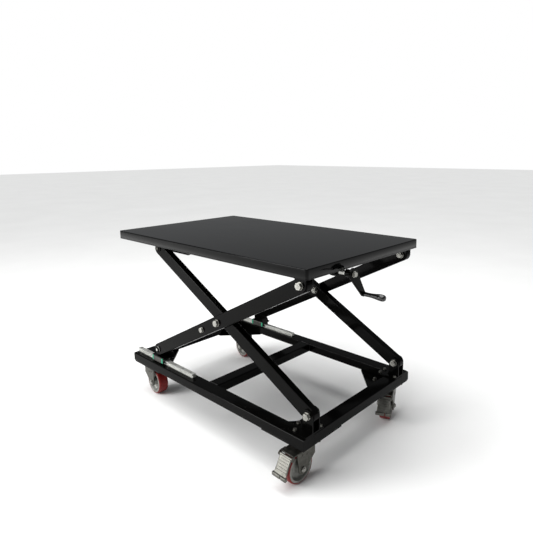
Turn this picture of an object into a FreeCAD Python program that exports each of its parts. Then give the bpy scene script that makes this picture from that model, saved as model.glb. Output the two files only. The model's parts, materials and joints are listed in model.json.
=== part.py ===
import FreeCAD, Part
import math
import os

V = FreeCAD.Vector

# Hand-cranked scissor lift table on four casters, millimetres.
# Working frame while modelling: x from the base's left end, y from its front face, z from the
# floor. Each shape is moved to the row's frame, bottom centre of the whole object, when written.

# Base frame
base_length = 1150.0
base_width = 715.0
tube_width = 60.0
tube_height = 40.0
tube_wall = 3.0
beam_left = 540.0          # left edge of the middle cross beam
corner_leg = 160.0         # how far a corner plate reaches past the tubes' inner corner
corner_plate = 6.0

# Casters, 5 inch wheels with a 2 inch tread
wheel_radius = 62.5
wheel_width = 48.0
core_radius = 56.0
caster_height = 156.0
caster_inset_x = 66.0
caster_inset_y = 68.0
trail = 34.0               # kingpin to wheel centre, level
plate_x, plate_y, plate_thick = 114.0, 100.0, 6.0
plate_bolt_x, plate_bolt_y = 46.0, 36.0
pedal_reach = 126.0        # kingpin to pedal tip, level
pedal_half = 31.0
tread_half = 35.0          # half width of the pedal's two treads
front_heading = -92.0      # way the crank-end front caster trails, degrees

# Scissor linkage
arm_length = 1050.0        # pivot to pivot
arm_depth = 56.0
arm_thick = 30.0
arm_angle = 27.6           # as built, degrees above level
pivot_x = 1126.0           # fixed pivots, at the right
pivot_lift = 64.0          # lower pivots above the base tubes
outer_arm_y = 20.0         # front face of the front outer arm
arm_gap = 3.0
pin_radius = 8.0
pin_play = 0.05
ear_thick = 5.5
ear_radius = 24.0
ear_gap = 0.5
bracket_plate = 6.0

# Guide rails and blocks, 20 mm size
rail_width, rail_height = 20.0, 17.5
rail_length = 460.0
rail_start = 1.0
block_width, block_height, block_length = 44.0, 30.0, 92.0
block_floor = 4.6          # gap between a block's foot and the rail's seat
rail_play = 0.4
cradle = 5.0               # plate between a block and its arm
lug_gap = 0.6              # between an arm and the lug behind it
lug_thick = 6.0

# Table top
top_left, top_front = -57.0, -2.5
top_length, top_width = 1230.0, 720.0
top_rise = 617.0           # top surface above the base tubes
top_skirt = 38.0
sheet = 3.0
frame_width, frame_height = 30.0, 28.0

# Screw and crank
screw_y = 205.0
screw_drop = 50.0          # screw axis below the top surface
screw_radius = 9.0
screw_left = 45.0
bearing_left, bearing_right = 1110.0, 1138.0
bearing_radius = 20.0
crank_x = 1200.0           # inner face of the crank arm
crank_thick = 10.0
crank_reach_y, crank_reach_z = 63.0, -86.0
crank_hub, crank_tip = 22.0, 10.0
grip_end = 1300.0

base_top = caster_height + corner_plate + tube_height
base_bottom = base_top - tube_height
lift = math.radians(arm_angle)
pivot_low = base_top + pivot_lift
pivot_high = pivot_low + arm_length * math.sin(lift)
slide_x = pivot_x - arm_length * math.cos(lift)
centre_x = (pivot_x + slide_x) / 2
centre_z = (pivot_low + pivot_high) / 2
top_z = base_top + top_rise
sheet_z = top_z - sheet
inner_arm_y = outer_arm_y + arm_thick + arm_gap
lower_rail_y = outer_arm_y + arm_thick / 2
upper_rail_y = inner_arm_y + arm_thick / 2
screw_z = top_z - screw_drop
origin_x = (top_left + grip_end) / 2
pedal_turn = math.radians(front_heading)
lowest_y = caster_inset_y + pedal_reach * math.sin(pedal_turn) + tread_half * math.cos(pedal_turn)
origin_y = (lowest_y + top_front + top_width) / 2

casters = {
    "front_left": (caster_inset_x, caster_inset_y, -4.0),
    "front_right": (base_length - caster_inset_x, caster_inset_y, front_heading),
    "rear_left": (caster_inset_x, base_width - caster_inset_y, -8.0),
    "rear_right": (base_length - caster_inset_x, base_width - caster_inset_y, -66.0),
}


def box(x0, x1, y0, y1, z0, z1):
    return Part.makeBox(x1 - x0, y1 - y0, z1 - z0, V(x0, y0, z0))


def rod(radius, start, end):
    start, end = V(*start), V(*end)
    return Part.makeCylinder(radius, start.distanceToPoint(end), start, end - start)


def hexagon(across, start, end):
    start, end = V(*start), V(*end)
    solid = Part.makeCylinder(across, start.distanceToPoint(end), V(0, 0, 0))
    for step in range(6):
        flat = box(across / 2, across * 2, -across * 2, across * 2, -1, 1000)
        flat.rotate(V(0, 0, 0), V(0, 0, 1), 60 * step)
        solid = solid.cut(flat)
    solid.Placement = FreeCAD.Placement(start, FreeCAD.Rotation(V(0, 0, 1), end - start))
    return solid


def fuse(*shapes):
    return shapes[0].fuse(list(shapes[1:])).removeSplitter()


def round_edges(shape, radius, direction):
    edges = [e for e in shape.Edges
             if len(e.Vertexes) == 2 and abs(e.tangentAt(e.FirstParameter).dot(direction)) > 0.999]
    return shape.makeFillet(radius, edges)


def tube(x0, x1, y0, y1, z0, z1, axis):
    # closed box section with rounded long edges and plate ends
    directions = {"x": V(1, 0, 0), "y": V(0, 1, 0)}
    outer = round_edges(box(x0, x1, y0, y1, z0, z1), 4.0, directions[axis])
    w = tube_wall
    return outer.cut(box(x0 + w, x1 - w, y0 + w, y1 - w, z0 + w, z1 - w))


def mirrored(shape):
    # the rear copy of a front piece, across the base's middle plane
    return shape.mirror(V(0, base_width / 2, 0), V(0, 1, 0))


def write(name, *shapes):
    solids = []
    for shape in shapes:
        moved = shape.copy()
        moved.translate(V(-origin_x, -origin_y, 0))
        solids += moved.Solids
    shape = solids[0] if len(solids) == 1 else Part.makeCompound(solids)
    shape.exportStep("parts/" + name + ".step")
    print(name, len(solids), round(sum(s.Volume for s in solids) / 1000, 1), "cm3")


def write_pair(name, shape):
    write(name + "_front", shape)
    write(name + "_rear", mirrored(shape))


def base_frame():
    length, width, w = base_length, base_width, tube_width
    z0, z1 = base_bottom, base_top
    write("base_side_front", tube(0, length, 0, w, z0, z1, "x"))
    write("base_side_rear", tube(0, length, width - w, width, z0, z1, "x"))
    write("base_end_left", tube(0, w, w, width - w, z0, z1, "y"))
    write("base_end_right", tube(length - w, length, w, width - w, z0, z1, "y"))
    write("base_cross_beam", tube(beam_left, beam_left + w, w, width - w, z0, z1, "y"))


def caster_bolt_places(x, y):
    return [(x + sx * plate_bolt_x, y + sy * plate_bolt_y) for sx in (-1, 1) for sy in (-1, 1)]


def corner_plates():
    # five-sided plates under the corners, which carry the casters
    plates = []
    reach = tube_width + corner_leg
    edge = 3.0
    for name, (x, y, _) in casters.items():
        outline = [(edge, edge), (reach, edge), (reach, tube_width), (tube_width, reach), (edge, reach)]
        flip_x = "right" in name
        flip_y = "rear" in name
        points = [V(base_length - px if flip_x else px, base_width - py if flip_y else py,
                    base_bottom - corner_plate) for px, py in outline]
        plate = Part.Face(Part.makePolygon(points + points[:1])).extrude(V(0, 0, corner_plate))
        for bx, by in caster_bolt_places(x, y):
            plate = plate.cut(rod(5.2, (bx, by, base_bottom - 20), (bx, by, base_bottom + 1)))
        plates.append(plate)
    write("corner_plates", *plates)


def rail(z_seat, up, y):
    # profile rail with waisted flanks; up is +1 when it stands on its seat, -1 when it hangs
    half, waist = rail_width / 2, rail_width / 2 - 2.2
    outline = [(-half, 0), (half, 0), (half, 5), (waist, 8), (waist, 11), (half, 14),
               (half, rail_height), (-half, rail_height), (-half, 14), (-waist, 11), (-waist, 8), (-half, 5)]
    points = [V(rail_start, y + py, z_seat + up * pz) for py, pz in outline]
    solid = Part.Face(Part.makePolygon(points + points[:1])).extrude(V(rail_length, 0, 0))
    for step in range(8):
        x = rail_start + 15 + step * 60
        head = z_seat + up * (rail_height - 8.5)
        end = z_seat + up * (rail_height + 1)
        solid = solid.cut(rod(4.75, (x, y, head), (x, y, end)))
    return solid


def block(z_seat, up, y):
    # slide block around the rail, with its end seals
    x0 = slide_x - block_length / 2
    low, high = sorted((z_seat + up * block_floor, z_seat + up * block_height))
    body = box(x0, x0 + block_length, y - block_width / 2, y + block_width / 2, low, high)
    body = round_edges(body, 2.0, V(1, 0, 0))
    slot_low, slot_high = sorted((z_seat, z_seat + up * (rail_height + rail_play)))
    half = rail_width / 2 + rail_play
    return body.cut(box(x0 - 1, x0 + block_length + 1, y - half, y + half, slot_low, slot_high))


def ear(x, y0, thick, z_pivot, z_root):
    # rounded ear that stands on (or hangs from) a plate at z_root
    disc = rod(ear_radius, (x, y0, z_pivot), (x, y0 + thick, z_pivot))
    low, high = sorted((z_pivot, z_root))
    return fuse(disc, box(x - ear_radius, x + ear_radius, y0, y0 + thick, low, high))


def ear_fillet(x, side, y0, thick, z_root, up):
    # concave corner between an ear's edge and its plate
    r = 12.0
    edge = x + side * ear_radius
    x0, x1 = sorted((edge, edge + side * r))
    z0, z1 = sorted((z_root, z_root + up * r))
    corner = box(x0, x1, y0, y0 + thick, z0, z1)
    return corner.cut(rod(r, (edge + side * r, y0 - 1, z_root + up * r),
                          (edge + side * r, y0 + thick + 1, z_root + up * r)))


def bracket(arm_y, z_pivot, z_root, up, plate_box, fillet_sides):
    # two ears, one each side of the arm, on a plate
    ears = []
    for y0 in (arm_y - ear_gap - ear_thick, arm_y + arm_thick + ear_gap):
        ears.append(ear(pivot_x, y0, ear_thick, z_pivot, z_root))
        ears += [ear_fillet(pivot_x, side, y0, ear_thick, z_root, up) for side in fillet_sides]
    solid = fuse(round_edges(box(*plate_box), 6.0, V(0, 0, 1)), *ears)
    bore = pin_radius + pin_play
    return solid.cut(rod(bore, (pivot_x, 0, z_pivot), (pivot_x, base_width / 2, z_pivot)))


def pivot_bolt(x, y0, y1, z):
    # hex bolt across y with its head at y0, washers and a nut at y1
    return fuse(rod(pin_radius, (x, y0 - 1, z), (x, y1 + 16, z)),
                rod(15.0, (x, y0 - 2.5, z), (x, y0, z)),
                hexagon(24.0, (x, y0 - 12.5, z), (x, y0 - 2.5, z)),
                rod(15.0, (x, y1, z), (x, y1 + 2.5, z)),
                hexagon(24.0, (x, y1 + 2.5, z), (x, y1 + 13, z)))


def brackets():
    plate_left = pivot_x - 70.0
    low_root = base_top + bracket_plate
    lower = bracket(inner_arm_y, pivot_low, low_root, 1,
                    (plate_left, base_length, 10, 112, base_top, low_root), (-1,))
    write_pair("lower_bracket", lower)
    frame_bottom = sheet_z - frame_height
    high_root = frame_bottom - bracket_plate
    upper = bracket(outer_arm_y, pivot_high, high_root, -1,
                    (plate_left, pivot_x + 38, 4, 66, high_root, frame_bottom), (-1, 1))
    write_pair("upper_bracket", upper)
    reach = ear_gap + ear_thick
    low_bolt = pivot_bolt(pivot_x, inner_arm_y - reach, inner_arm_y + arm_thick + reach, pivot_low)
    write("lower_pivot_bolts", low_bolt, mirrored(low_bolt))
    high_bolt = pivot_bolt(pivot_x, outer_arm_y - reach, outer_arm_y + arm_thick + reach, pivot_high)
    write("upper_pivot_bolts", high_bolt, mirrored(high_bolt))


def slab(radius, y0, y1):
    # round-ended bar along +x between the end pivots, about the origin
    half = arm_length / 2
    return fuse(rod(radius, (-half, y0, 0), (-half, y1, 0)), rod(radius, (half, y0, 0), (half, y1, 0)),
                box(-half, half, y0, y1, -radius, radius))


def arm(y0, angle, extra_bores=()):
    y1 = y0 + arm_thick
    radius = arm_depth / 2
    shell = slab(radius, y0, y1).cut(slab(radius - tube_wall, y0 + tube_wall, y1 - tube_wall))
    half = arm_length / 2
    bores = [(-half, pin_radius), (0.0, pin_radius), (half, pin_radius)] + list(extra_bores)
    bosses = [rod(bore + 7, (x, y0 + 1, 0), (x, y1 - 1, 0)) for x, bore in bores]
    solid = fuse(shell, *bosses)
    for x, bore in bores:
        solid = solid.cut(rod(bore + pin_play, (x, y0 - 1, 0), (x, y1 + 1, 0)))
    solid.rotate(V(0, 0, 0), V(0, 1, 0), -angle)
    solid.translate(V(centre_x, 0, centre_z))
    return solid


def arms():
    stop_place = -118.0     # along the outer arm from the centre pivot
    stop_radius = 6.0
    write_pair("outer_arm", arm(outer_arm_y, arm_angle, [(stop_place, stop_radius)]))
    write_pair("inner_arm", arm(inner_arm_y, -arm_angle))
    far = inner_arm_y + arm_thick
    spacer = rod(16.0, (centre_x, outer_arm_y + arm_thick, centre_z),
                 (centre_x, inner_arm_y - 0.4, centre_z))
    centre = fuse(pivot_bolt(centre_x, outer_arm_y, far + 0.4, centre_z), spacer)
    x = centre_x + stop_place * math.cos(lift)
    z = centre_z + stop_place * math.sin(lift)
    y1 = outer_arm_y + arm_thick
    stop = fuse(rod(stop_radius, (x, outer_arm_y - 1, z), (x, y1, z)),
                rod(12.0, (x, outer_arm_y - 2, z), (x, outer_arm_y, z)),
                hexagon(20.0, (x, outer_arm_y - 10, z), (x, outer_arm_y - 2, z)))
    write("arm_bolts", centre, mirrored(centre), stop, mirrored(stop))


def lug_pin(arm_y, y_back, z):
    # pin from a lug's cheek through an arm's end, with a low round head in front
    y0 = arm_y - 0.4
    return fuse(rod(pin_radius, (slide_x, y0, z), (slide_x, y_back, z)),
                rod(14.0, (slide_x, y0 - 7, z), (slide_x, y0, z)))


def lower_lug():
    # cradle plate on the block, a rounded cheek behind the arm and the pin
    z0 = base_top + block_height
    y_back = outer_arm_y + arm_thick + lug_gap
    y_end = y_back + lug_thick
    tail_x, tail_r = slide_x + 66, 22.0
    plate = box(slide_x - 40, slide_x + 60, lower_rail_y - block_width / 2, y_end, z0, z0 + cradle)
    cheek = fuse(box(slide_x - tail_r, tail_x, y_back, y_end, z0, pivot_low + 14),
                 rod(tail_r, (tail_x, y_back, z0 + tail_r), (tail_x, y_end, z0 + tail_r)),
                 rod(tail_r, (slide_x, y_back, pivot_low), (slide_x, y_end, pivot_low)))
    return fuse(plate, cheek, lug_pin(outer_arm_y, y_back, pivot_low))


def upper_lug():
    # plate under the hanging block, a long cheek beside the inner arm and the pin
    z1 = sheet_z - block_height
    y_back = inner_arm_y + arm_thick + lug_gap
    y_end = y_back + lug_thick
    tail_x, tail_r = slide_x + 190, 22.0
    head_r = 24.0
    plate = box(slide_x - 45, slide_x + 45, upper_rail_y - block_width / 2, y_end, z1 - 4.5, z1)
    cheek = fuse(box(slide_x - head_r, slide_x + head_r, y_back, y_end, pivot_high, z1),
                 box(slide_x, tail_x, y_back, y_end, z1 - 2 * tail_r, z1),
                 rod(tail_r, (tail_x, y_back, z1 - tail_r), (tail_x, y_end, z1 - tail_r)),
                 rod(head_r, (slide_x, y_back, pivot_high), (slide_x, y_end, pivot_high)))
    return fuse(plate, cheek, lug_pin(inner_arm_y, y_back, pivot_high))


def slides():
    write_pair("lower_rail", rail(base_top, 1, lower_rail_y))
    write_pair("upper_rail", rail(sheet_z, -1, upper_rail_y))
    write_pair("lower_block", block(base_top, 1, lower_rail_y))
    write_pair("upper_block", block(sheet_z, -1, upper_rail_y))
    write_pair("lower_lug", lower_lug())
    write_pair("upper_lug", upper_lug())


def drive():
    # cross bar between the upper lugs, pushed along by a nut on the screw
    y0 = inner_arm_y + arm_thick + lug_gap + lug_thick
    x0, x1 = slide_x - 20.0, slide_x + 20.0
    half_height = 16.0
    bar = tube(x0, x1, y0, base_width - y0, screw_z - half_height, screw_z + half_height, "y")
    clearance = rod(screw_radius + 1, (x0 - 1, screw_y, screw_z), (x1 + 1, screw_y, screw_z))
    write("drive_bar", bar.cut(clearance))
    flange_end, nut_end = x1 + 8.0, x1 + 38.0
    nut = fuse(rod(26.0, (x1, screw_y, screw_z), (flange_end, screw_y, screw_z)),
               rod(15.0, (x1, screw_y, screw_z), (nut_end, screw_y, screw_z)))
    write("drive_nut", nut.cut(rod(screw_radius + 0.1, (x1 - 1, screw_y, screw_z),
                                   (nut_end + 1, screw_y, screw_z))))


def bearing_block():
    # housing under the sheet with a short nose towards the crank
    x0, x1, r = bearing_left, bearing_right, bearing_radius
    nose_end = x1 + 8.0
    housing = fuse(rod(r, (x0, screw_y, screw_z), (x1, screw_y, screw_z)),
                   box(x0, x1, screw_y - r, screw_y + r, screw_z, sheet_z),
                   rod(13.0, (x1, screw_y, screw_z), (nose_end, screw_y, screw_z)))
    bore = rod(screw_radius + pin_play, (x0 - 1, screw_y, screw_z), (nose_end + 1, screw_y, screw_z))
    write("bearing_block", housing.cut(bore))


def crank():
    end_y, end_z = screw_y + crank_reach_y, screw_z + crank_reach_z
    write("lead_screw", rod(screw_radius, (screw_left, screw_y, screw_z), (crank_x, screw_y, screw_z)))
    x0, x1 = crank_x, crank_x + crank_thick
    hub, tip = crank_hub, crank_tip
    length = math.hypot(crank_reach_y, crank_reach_z)
    lean = math.asin((hub - tip) / length)
    across = V(0, math.cos(lean), math.sin(lean))
    flat = [V(x0, hub * across.y, -hub * across.z), V(x0, tip * across.y, -length - tip * across.z),
            V(x0, -tip * across.y, -length - tip * across.z), V(x0, -hub * across.y, -hub * across.z)]
    web = Part.Face(Part.makePolygon(flat + flat[:1])).extrude(V(crank_thick, 0, 0))
    web.rotate(V(0, 0, 0), V(1, 0, 0), math.degrees(math.atan2(crank_reach_y, -crank_reach_z)))
    web.translate(V(0, screw_y, screw_z))
    sleeve_radius, sleeve_start = 14.0, x0 - 24.0
    stub_radius = 5.0
    sleeve = rod(sleeve_radius, (sleeve_start, screw_y, screw_z), (x0, screw_y, screw_z))
    sleeve = sleeve.cut(rod(screw_radius, (sleeve_start, screw_y, screw_z), (x0, screw_y, screw_z)))
    write("crank_arm", fuse(web, sleeve, rod(hub, (x0, screw_y, screw_z), (x1, screw_y, screw_z)),
                            rod(tip, (x0, end_y, end_z), (x1, end_y, end_z)),
                            hexagon(17.0, (x1, screw_y, screw_z), (x1 + 9, screw_y, screw_z)),
                            rod(stub_radius, (x1, end_y, end_z), (grip_end - 14, end_y, end_z))))
    start = x1 + 1.0
    profile = [(start, 0), (start, 7), (start + 6, 8), (start + 35, 8), (start + 68, 12.5),
               (grip_end - 7, 12.5), (grip_end, 7), (grip_end, 0)]
    points = [V(x, end_y, end_z + r) for x, r in profile]
    grip = Part.Face(Part.makePolygon(points + points[:1])).revolve(V(0, end_y, end_z), V(1, 0, 0), 360)
    write("crank_grip", grip.cut(rod(stub_radius + pin_play, (start - 1, end_y, end_z),
                                     (grip_end - 13, end_y, end_z))))


def table_top():
    x0, x1 = top_left, top_left + top_length
    y0, y1 = top_front, top_front + top_width
    tray = box(x0, x1, y0, y1, top_z - top_skirt, top_z)
    tray = round_edges(tray, 10.0, V(0, 0, 1))
    hollow = box(x0 + sheet, x1 - sheet, y0 + sheet, y1 - sheet, top_z - top_skirt - 1, sheet_z)
    tray = tray.cut(round_edges(hollow, 7.0, V(0, 0, 1)))
    write("table_top", tray)
    gap = sheet + 1.0
    w = frame_width
    z0, z1 = sheet_z - frame_height, sheet_z
    write("top_frame",
          tube(x0 + gap + w, x1 - gap - w, y0 + gap, y0 + gap + w, z0, z1, "x"),
          tube(x0 + gap + w, x1 - gap - w, y1 - gap - w, y1 - gap, z0, z1, "x"),
          tube(x0 + gap, x0 + gap + w, y0 + gap + 8, y1 - gap - 8, z0, z1, "y"),
          tube(x1 - gap - w, x1 - gap, y0 + gap + 8, y1 - gap - 8, z0, z1, "y"))


def turned(shape, x, y, heading):
    # from a caster's own frame (trail along +x, kingpin at the origin) to its corner
    solid = shape.copy()
    solid.rotate(V(0, 0, 0), V(0, 0, 1), heading)
    solid.translate(V(x, y, 0))
    return solid


def caster_plate():
    z1 = caster_height
    z0 = z1 - plate_thick
    plate = round_edges(box(-plate_x / 2, plate_x / 2, -plate_y / 2, plate_y / 2, z0, z1), 8.0, V(0, 0, 1))
    solid = fuse(plate, rod(33.0, (0, 0, z0 - 7.5), (0, 0, z0)), rod(8.0, (0, 0, z0 - 26.5), (0, 0, z0)),
                 hexagon(22.0, (0, 0, z0 - 27.5), (0, 0, z0 - 22)))
    for bx, by in caster_bolt_places(0, 0):
        solid = solid.cut(rod(5.2, (bx, by, z0 - 1), (bx, by, z1 + 1)))
    return solid


def caster_fork(with_roof):
    crown_low, crown_high = 130.0, 135.0
    dome = 7.0
    inner, outer = 30.0, 35.0
    leg = [V(-30, inner, crown_high), V(62, inner, crown_high), V(trail + 19, inner, wheel_radius),
           V(trail - 19, inner, wheel_radius), V(-30, inner, crown_high - 24)]
    side = Part.Face(Part.makePolygon(leg + leg[:1])).extrude(V(0, outer - inner, 0))
    side = fuse(side, rod(19.0, (trail, inner, wheel_radius), (trail, outer, wheel_radius)))
    roof_end = 82.0 if with_roof else 62.0
    solid = fuse(side, side.mirror(V(0, 0, 0), V(0, 1, 0)),
                 box(-30, roof_end, -outer, outer, crown_low, crown_high),
                 rod(31.0, (0, 0, crown_low), (0, 0, crown_high + dome)))
    solid = solid.cut(rod(8.0 + pin_play, (0, 0, crown_low - 1), (0, 0, crown_high + dome + 1)))
    return solid.cut(rod(6.0 + pin_play, (trail, -50, wheel_radius), (trail, 50, wheel_radius)))


def caster_axle():
    z = wheel_radius
    return fuse(rod(6.0, (trail, -41, z), (trail, 44, z)),
                hexagon(19.0, (trail, -41, z), (trail, -35, z)),
                hexagon(19.0, (trail, 35, z), (trail, 42, z)))


def turned_about_axle(profile):
    points = [V(trail + r, v, wheel_radius) for r, v in profile]
    face = Part.Face(Part.makePolygon(points + points[:1]))
    return face.revolve(V(trail, 0, wheel_radius), V(0, 1, 0), 360)


def caster_core():
    half = wheel_width / 2
    profile = [(6.0 + pin_play, -29.4), (16, -29.4), (18, -half), (18, -6), (42, -6), (44, -half),
               (core_radius, -half), (core_radius, half), (44, half), (42, 6), (18, 6), (18, half),
               (16, 29.4), (6.0 + pin_play, 29.4)]
    return turned_about_axle(profile)


def caster_tyre():
    half = wheel_width / 2
    chamfer = 4.0
    profile = [(core_radius, -half), (wheel_radius - chamfer, -half), (wheel_radius, chamfer - half),
               (wheel_radius, half - chamfer), (wheel_radius - chamfer, half), (core_radius, half)]
    return turned_about_axle(profile)


def brake_pedal():
    # sloping pedal that ends in a wide and a narrow tread, on a hinge rod under the roof's lip
    slope = [(83.5, 121), (88, 127), (121, 66), (116.5, 64)]
    points = [V(u, -pedal_half, z) for u, z in slope]
    solid = Part.Face(Part.makePolygon(points + points[:1])).extrude(V(0, 2 * pedal_half, 0))
    solid = fuse(solid, rod(5.0, (85, -pedal_half, 122), (85, pedal_half, 122)),
                 box(pedal_reach - 12, pedal_reach, -tread_half, tread_half, 54, 68))
    return solid.cut(box(pedal_reach - 20, pedal_reach + 1, 6, 8, 50, 80))


def caster_set():
    z0 = caster_height - plate_thick
    bolts = []
    for name, (x, y, heading) in casters.items():
        braked = "right" in name
        plate = caster_plate()
        plate.translate(V(x, y, 0))
        write("caster_plate_" + name, plate)
        write("caster_fork_" + name, turned(caster_fork(braked), x, y, heading))
        write("caster_axle_" + name, turned(caster_axle(), x, y, heading))
        write("caster_core_" + name, turned(caster_core(), x, y, heading))
        write("caster_tyre_" + name, turned(caster_tyre(), x, y, heading))
        if braked:
            write("brake_pedal_" + name, turned(brake_pedal(), x, y, heading))
        for bx, by in caster_bolt_places(x, y):
            bolts.append(fuse(rod(5.0, (bx, by, z0), (bx, by, base_bottom)),
                              hexagon(16.0, (bx, by, z0 - 7), (bx, by, z0))))
    write("caster_bolts", *bolts)


os.makedirs("parts", exist_ok=True)
base_frame()
corner_plates()
brackets()
arms()
slides()
drive()
bearing_block()
crank()
table_top()
caster_set()
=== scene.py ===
import bpy
import bmesh
import json
import math
from mathutils import Matrix, Vector


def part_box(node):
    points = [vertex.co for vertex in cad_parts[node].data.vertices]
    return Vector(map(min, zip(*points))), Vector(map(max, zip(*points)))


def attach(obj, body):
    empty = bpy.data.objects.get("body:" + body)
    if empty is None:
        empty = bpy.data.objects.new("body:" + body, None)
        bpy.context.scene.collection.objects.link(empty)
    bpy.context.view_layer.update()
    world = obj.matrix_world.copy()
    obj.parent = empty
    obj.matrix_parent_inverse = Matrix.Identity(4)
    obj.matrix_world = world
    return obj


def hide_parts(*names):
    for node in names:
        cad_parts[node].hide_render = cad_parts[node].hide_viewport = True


# Hand-cranked scissor lift table. Shapes are worked in millimetres and made metres in makePiece.

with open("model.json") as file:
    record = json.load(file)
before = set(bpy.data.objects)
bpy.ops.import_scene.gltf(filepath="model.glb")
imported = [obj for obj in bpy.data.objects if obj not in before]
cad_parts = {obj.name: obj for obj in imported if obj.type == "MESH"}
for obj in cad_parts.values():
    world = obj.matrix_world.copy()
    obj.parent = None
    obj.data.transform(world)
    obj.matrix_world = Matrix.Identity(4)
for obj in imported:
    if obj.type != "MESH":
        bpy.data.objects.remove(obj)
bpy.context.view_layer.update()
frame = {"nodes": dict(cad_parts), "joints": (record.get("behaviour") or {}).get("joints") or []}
nodes = frame["nodes"]
spots = {joint["name"]: Vector(joint["pos_m"]) * 1000 for joint in frame["joints"]}
axes = {joint["name"]: Vector(joint["axis"]) for joint in frame["joints"]}
print("frame loaded,", len(nodes), "nodes")


def mmBox(node):
    low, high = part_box(node)
    return low * 1000, high * 1000


def hexColour(code):
    # sRGB hex to linear
    parts = [int(code[i:i + 2], 16) / 255 for i in (1, 3, 5)]
    return tuple(p / 12.92 if p <= 0.04045 else ((p + 0.055) / 1.055) ** 2.4 for p in parts) + (1.0,)


def addNode(tree, kind, settings=None, values=None, links=None):
    node = tree.nodes.new(kind)
    for name, value in (settings or {}).items():
        setattr(node, name, value)
    for name, value in (values or {}).items():
        node.inputs[name].default_value = value
    for name, source in (links or {}).items():
        tree.links.new(source, node.inputs[name])
    return node


def surfaceFinish(name, look):
    # tones drift over patches, roughness follows a finer grain and the grain stands up as bump
    finish = bpy.data.materials.new(name)
    finish.use_nodes = True
    tree = finish.node_tree
    shader = tree.nodes["Principled BSDF"]
    for socket, value in look["shader"].items():
        shader.inputs[socket].default_value = value
    place = addNode(tree, "ShaderNodeTexCoord").outputs["Object"]
    stretch = look.get("stretch", (1.0, 1.0, 1.0))
    lined = addNode(tree, "ShaderNodeMapping", values={"Scale": stretch}, links={"Vector": place})
    patches = addNode(tree, "ShaderNodeTexNoise", links={"Vector": place},
                      values={"Scale": 1000 / look["patchMm"], "Detail": 5.0, "Roughness": 0.6})
    grain = addNode(tree, "ShaderNodeTexNoise", links={"Vector": lined.outputs["Vector"]},
                    values={"Scale": 1000 / look["grainMm"], "Detail": 3.0, "Roughness": 0.65})
    both = addNode(tree, "ShaderNodeMath", settings={"operation": "MULTIPLY_ADD"},
                   values={1: look.get("grainShare", 0.35)},
                   links={0: grain.outputs["Fac"], 2: patches.outputs["Fac"]})
    tones = addNode(tree, "ShaderNodeValToRGB", links={"Fac": both.outputs[0]})
    low, high = tones.color_ramp.elements
    low.position, high.position = 0.42, 0.9
    low.color, high.color = [hexColour(code) for code in look["tones"]]
    colour = tones.outputs["Color"]
    if "flakeMm" in look:
        # crystal flakes, cell by cell
        cells = addNode(tree, "ShaderNodeTexVoronoi", values={"Scale": 1000 / look["flakeMm"]},
                        links={"Vector": place})
        grey = addNode(tree, "ShaderNodeSeparateColor", links={"Color": cells.outputs["Color"]})
        level = addNode(tree, "ShaderNodeMapRange", links={"Value": grey.outputs["Red"]},
                        values={"To Min": look["flakes"][0], "To Max": look["flakes"][1]})
        flaked = addNode(tree, "ShaderNodeMix", settings={"data_type": "RGBA", "blend_type": "MULTIPLY"},
                         values={"Factor": 1.0}, links={6: colour, 7: level.outputs["Result"]})
        colour = flaked.outputs[2]
    tree.links.new(colour, shader.inputs["Base Color"])
    smoothest, roughest = look["rough"]
    rough = addNode(tree, "ShaderNodeMapRange", links={"Value": both.outputs[0]},
                    values={"From Min": 0.3, "From Max": 1.0, "To Min": smoothest, "To Max": roughest})
    tree.links.new(rough.outputs["Result"], shader.inputs["Roughness"])
    bump = addNode(tree, "ShaderNodeBump", links={"Height": grain.outputs["Fac"]},
                   values={"Strength": look["bump"], "Distance": look["bumpMm"] / 1000})
    tree.links.new(bump.outputs["Normal"], shader.inputs["Normal"])
    return finish


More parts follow.
